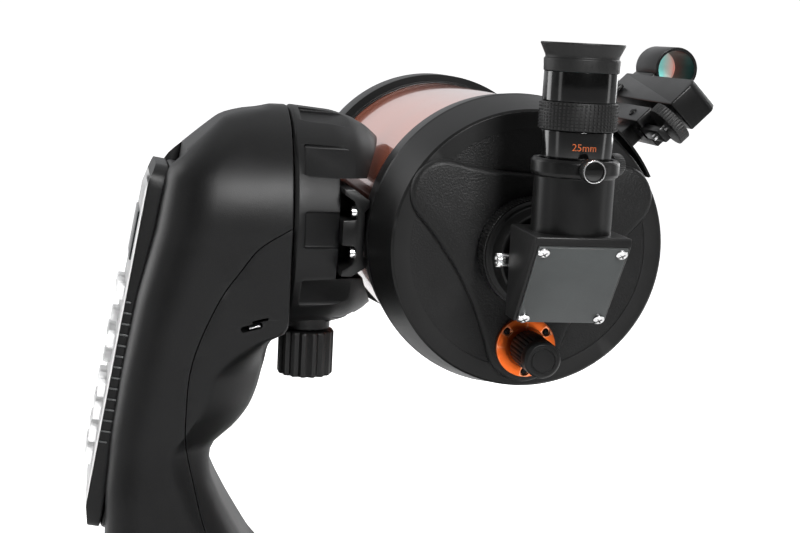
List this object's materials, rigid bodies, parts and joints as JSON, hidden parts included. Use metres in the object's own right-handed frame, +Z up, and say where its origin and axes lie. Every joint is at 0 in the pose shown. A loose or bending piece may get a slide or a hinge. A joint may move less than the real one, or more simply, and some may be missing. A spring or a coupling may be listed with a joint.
{
  "type": "schmidt cassegrain telescope",
  "caption": "Short catadioptric telescope on a motorised single-arm mount with hand control, star diagonal, eyepiece and red-dot finder.",
  "frame": {"origin": "azimuth axis at the underside of the base", "axes": "+Z up along the azimuth axis, +Y the way the level tube looks, altitude axis along X, arm at -X"},
  "size_m": [0.3295, 0.365, 0.451],
  "materials": {
    "dark_casing": "fine-grained satin charcoal moulding",
    "drum_casing": "fine-grained satin charcoal moulding",
    "cast_black": "fine textured black paint on a casting",
    "hammered_black": "textured black paint on the rear face",
    "orange_tube": "glossy metallic orange paint",
    "orange_anodised": "satin orange anodising",
    "gloss_black": "gloss black",
    "black_aluminium": "black anodising",
    "grey_aluminium": "grey anodised extrusion",
    "chrome": "bright plated",
    "steel": "machined",
    "black_rubber": "matt soft rubber",
    "key_rubber": "translucent pale silicone",
    "control_grey": "satin grey moulding",
    "display_glass": "dark display window",
    "lens_glass": "coated optical glass",
    "mirror_silver": "aluminised",
    "battery_wrap": "plain sleeve",
    "level_fluid": "clear green fluid",
    "motor_steel": "plated can"
  },
  "bodies": {
    "base": {"base_plate": "cast_black", "base_feet": "black_rubber", "azimuth_shaft": "steel"},
    "turntable": {"turntable_housing": "drum_casing", "battery_pack": "battery_wrap", "bubble_level": "level_fluid", "azimuth_motor": "motor_steel", "arm_outer_shell": "dark_casing", "arm_inner_shell": "dark_casing", "arm_frame": "cast_black", "altitude_motor": "motor_steel"},
    "battery_door": {"battery_door": "drum_casing"},
    "power_switch": {"power_switch": "gloss_black"},
    "hand_control": {"control_front_case": "control_grey", "control_back_case": "control_grey", "control_display": "display_glass"},
    "altitude_hub": {"altitude_hub": "dark_casing", "altitude_shaft": "steel"},
    "clamp_jaw": {"clamp_jaw": "grey_aluminium"},
    "clamp_knob": {"clamp_knob": "black_rubber"},
    "optical_tube": {"dovetail_bar": "grey_aluminium", "dovetail_screws": "chrome", "rear_cell": "hammered_black", "main_tube": "orange_tube", "front_cell": "cast_black", "corrector_plate": "lens_glass", "secondary_holder": "cast_black", "secondary_mirror": "mirror_silver", "baffle_tube": "black_aluminium", "focuser_flange": "orange_anodised", "visual_back_tube": "black_aluminium", "finder_bracket": "black_aluminium"},
    "visual_back_ring": {"visual_back_ring": "black_aluminium"},
    "visual_back_screw": {"visual_back_screw": "chrome"},
    "primary_mirror": {"primary_mirror": "mirror_silver"},
    "focus_knob": {"focus_knob": "black_rubber"},
    "star_diagonal": {"diagonal_housing": "cast_black", "diagonal_plate": "black_aluminium", "diagonal_screws": "chrome", "diagonal_prism": "lens_glass"},
    "holder_screw_rear": {"holder_screw_rear": "chrome"},
    "holder_screw_side": {"holder_screw_side": "chrome"},
    "eyepiece": {"eyepiece_barrel": "gloss_black", "eyepiece_grip": "black_rubber", "eyecup": "black_rubber", "eyepiece_lenses": "lens_glass"},
    "finder": {"finder_body": "cast_black", "finder_lens": "lens_glass"},
    "finder_wheel": {"finder_wheel": "black_rubber"},
    "key_align": {"key_align": "key_rubber"},
    "key_enter": {"key_enter": "key_rubber"},
    "key_undo": {"key_undo": "key_rubber"},
    "key_up": {"key_up": "key_rubber"},
    "key_left": {"key_left": "key_rubber"},
    "key_right": {"key_right": "key_rubber"},
    "key_down": {"key_down": "key_rubber"},
    "key_row_1": {"key_row_1": "key_rubber"},
    "key_row_2": {"key_row_2": "key_rubber"},
    "key_row_3": {"key_row_3": "key_rubber"},
    "key_row_4": {"key_row_4": "key_rubber"}
  },
  "joints": [
    {"name": "azimuth_turn", "type": "hinge", "parent": "base", "child": "turntable", "pos_m": [0, 0, 0.05], "axis": [0, 0, 1], "continuous": true},
    {"name": "altitude_tilt", "type": "hinge", "parent": "turntable", "child": "altitude_hub", "pos_m": [-0.05, 0, 0.345], "axis": [1, 0, 0], "range_deg": [-20, 90]},
    {"name": "dovetail_slide", "type": "slide", "parent": "altitude_hub", "child": "optical_tube", "axis": [0, 1, 0], "range_m": [-0.012, 0.012]},
    {"name": "clamp_knob_turn", "type": "hinge", "parent": "altitude_hub", "child": "clamp_knob", "pos_m": [-0.0375, 0, 0.265], "axis": [0, 0, 1], "range_deg": [0, 720]},
    {"name": "clamp_jaw_slide", "type": "slide", "parent": "altitude_hub", "child": "clamp_jaw", "axis": [0, 0, -1], "range_m": [0, 0.0025]},
    {"name": "focus_knob_turn", "type": "hinge", "parent": "optical_tube", "child": "focus_knob", "pos_m": [0.06, -0.13, 0.2954], "axis": [0, 1, 0], "range_deg": [-1800, 1800]},
    {"name": "primary_mirror_slide", "type": "slide", "parent": "optical_tube", "child": "primary_mirror", "axis": [0, 1, 0], "range_m": [-0.00375, 0.00375]},
    {"name": "visual_back_ring_turn", "type": "hinge", "parent": "optical_tube", "child": "visual_back_ring", "pos_m": [0.06, -0.135, 0.345], "axis": [0, 1, 0], "range_deg": [0, 360]},
    {"name": "visual_back_screw_turn", "type": "hinge", "parent": "optical_tube", "child": "visual_back_screw", "pos_m": [0.04, -0.1525, 0.345], "axis": [1, 0, 0], "range_deg": [0, 720]},
    {"name": "diagonal_turn", "type": "hinge", "parent": "optical_tube", "child": "star_diagonal", "pos_m": [0.06, -0.145, 0.345], "axis": [0, 1, 0], "range_deg": [-90, 90]},
    {"name": "holder_screw_rear_turn", "type": "hinge", "parent": "star_diagonal", "child": "holder_screw_rear", "pos_m": [0.06, -0.205, 0.3944], "axis": [0, 1, 0], "range_deg": [0, 720]},
    {"name": "holder_screw_side_turn", "type": "hinge", "parent": "star_diagonal", "child": "holder_screw_side", "pos_m": [0.08165, -0.1698, 0.3944], "axis": [0.866, 0.5, 0], "range_deg": [0, 720]},
    {"name": "eyepiece_lift", "type": "slide", "parent": "star_diagonal", "child": "eyepiece", "axis": [0, 0, 1], "range_m": [0, 0.03]},
    {"name": "finder_tilt", "type": "hinge", "parent": "optical_tube", "child": "finder", "pos_m": [0.13354, -0.036, 0.41854], "axis": [0.7071, 0, -0.7071], "range_deg": [-1.2, 1.2]},
    {"name": "finder_wheel_turn", "type": "hinge", "parent": "optical_tube", "child": "finder_wheel", "pos_m": [0.12718, -0.122, 0.41218], "axis": [0.7071, 0, 0.7071], "range_deg": [-720, 720]},
    {"name": "battery_door_lift", "type": "slide", "parent": "turntable", "child": "battery_door", "axis": [0, 0, 1], "range_m": [0, 0.03]},
    {"name": "power_switch_rock", "type": "hinge", "parent": "turntable", "child": "power_switch", "pos_m": [0.02, -0.112, 0.0965], "axis": [0, 1, 0], "range_deg": [0, 14]},
    {"name": "hand_control_lift", "type": "slide", "parent": "turntable", "child": "hand_control", "axis": [0.1613, 0, 0.9869], "range_m": [0, 0.06]},
    {"name": "key_align_press", "type": "slide", "parent": "hand_control", "child": "key_align", "axis": [0.9869, 0, -0.1613], "range_m": [0, 0.001], "stiffness_N_per_m": 250},
    {"name": "key_enter_press", "type": "slide", "parent": "hand_control", "child": "key_enter", "axis": [0.9869, 0, -0.1613], "range_m": [0, 0.001], "stiffness_N_per_m": 250},
    {"name": "key_undo_press", "type": "slide", "parent": "hand_control", "child": "key_undo", "axis": [0.9869, 0, -0.1613], "range_m": [0, 0.001], "stiffness_N_per_m": 250},
    {"name": "key_up_press", "type": "slide", "parent": "hand_control", "child": "key_up", "axis": [0.9869, 0, -0.1613], "range_m": [0, 0.001], "stiffness_N_per_m": 250},
    {"name": "key_left_press", "type": "slide", "parent": "hand_control", "child": "key_left", "axis": [0.9869, 0, -0.1613], "range_m": [0, 0.001], "stiffness_N_per_m": 250},
    {"name": "key_right_press", "type": "slide", "parent": "hand_control", "child": "key_right", "axis": [0.9869, 0, -0.1613], "range_m": [0, 0.001], "stiffness_N_per_m": 250},
    {"name": "key_down_press", "type": "slide", "parent": "hand_control", "child": "key_down", "axis": [0.9869, 0, -0.1613], "range_m": [0, 0.001], "stiffness_N_per_m": 250},
    {"name": "key_row_1_press", "type": "slide", "parent": "hand_control", "child": "key_row_1", "axis": [0.9869, 0, -0.1613], "range_m": [0, 0.001], "stiffness_N_per_m": 600},
    {"name": "key_row_2_press", "type": "slide", "parent": "hand_control", "child": "key_row_2", "axis": [0.9869, 0, -0.1613], "range_m": [0, 0.001], "stiffness_N_per_m": 600},
    {"name": "key_row_3_press", "type": "slide", "parent": "hand_control", "child": "key_row_3", "axis": [0.9869, 0, -0.1613], "range_m": [0, 0.001], "stiffness_N_per_m": 600},
    {"name": "key_row_4_press", "type": "slide", "parent": "hand_control", "child": "key_row_4", "axis": [0.9869, 0, -0.1613], "range_m": [0, 0.001], "stiffness_N_per_m": 600}
  ],
  "couplings": [
    {"joint": "clamp_knob_turn", "follows": "clamp_jaw_slide", "rad_per_m": 5026.5},
    {"joint": "focus_knob_turn", "follows": "primary_mirror_slide", "rad_per_m": 8377.5},
    {"joint": "finder_wheel_turn", "follows": "finder_tilt", "ratio": 599.9}
  ]
}
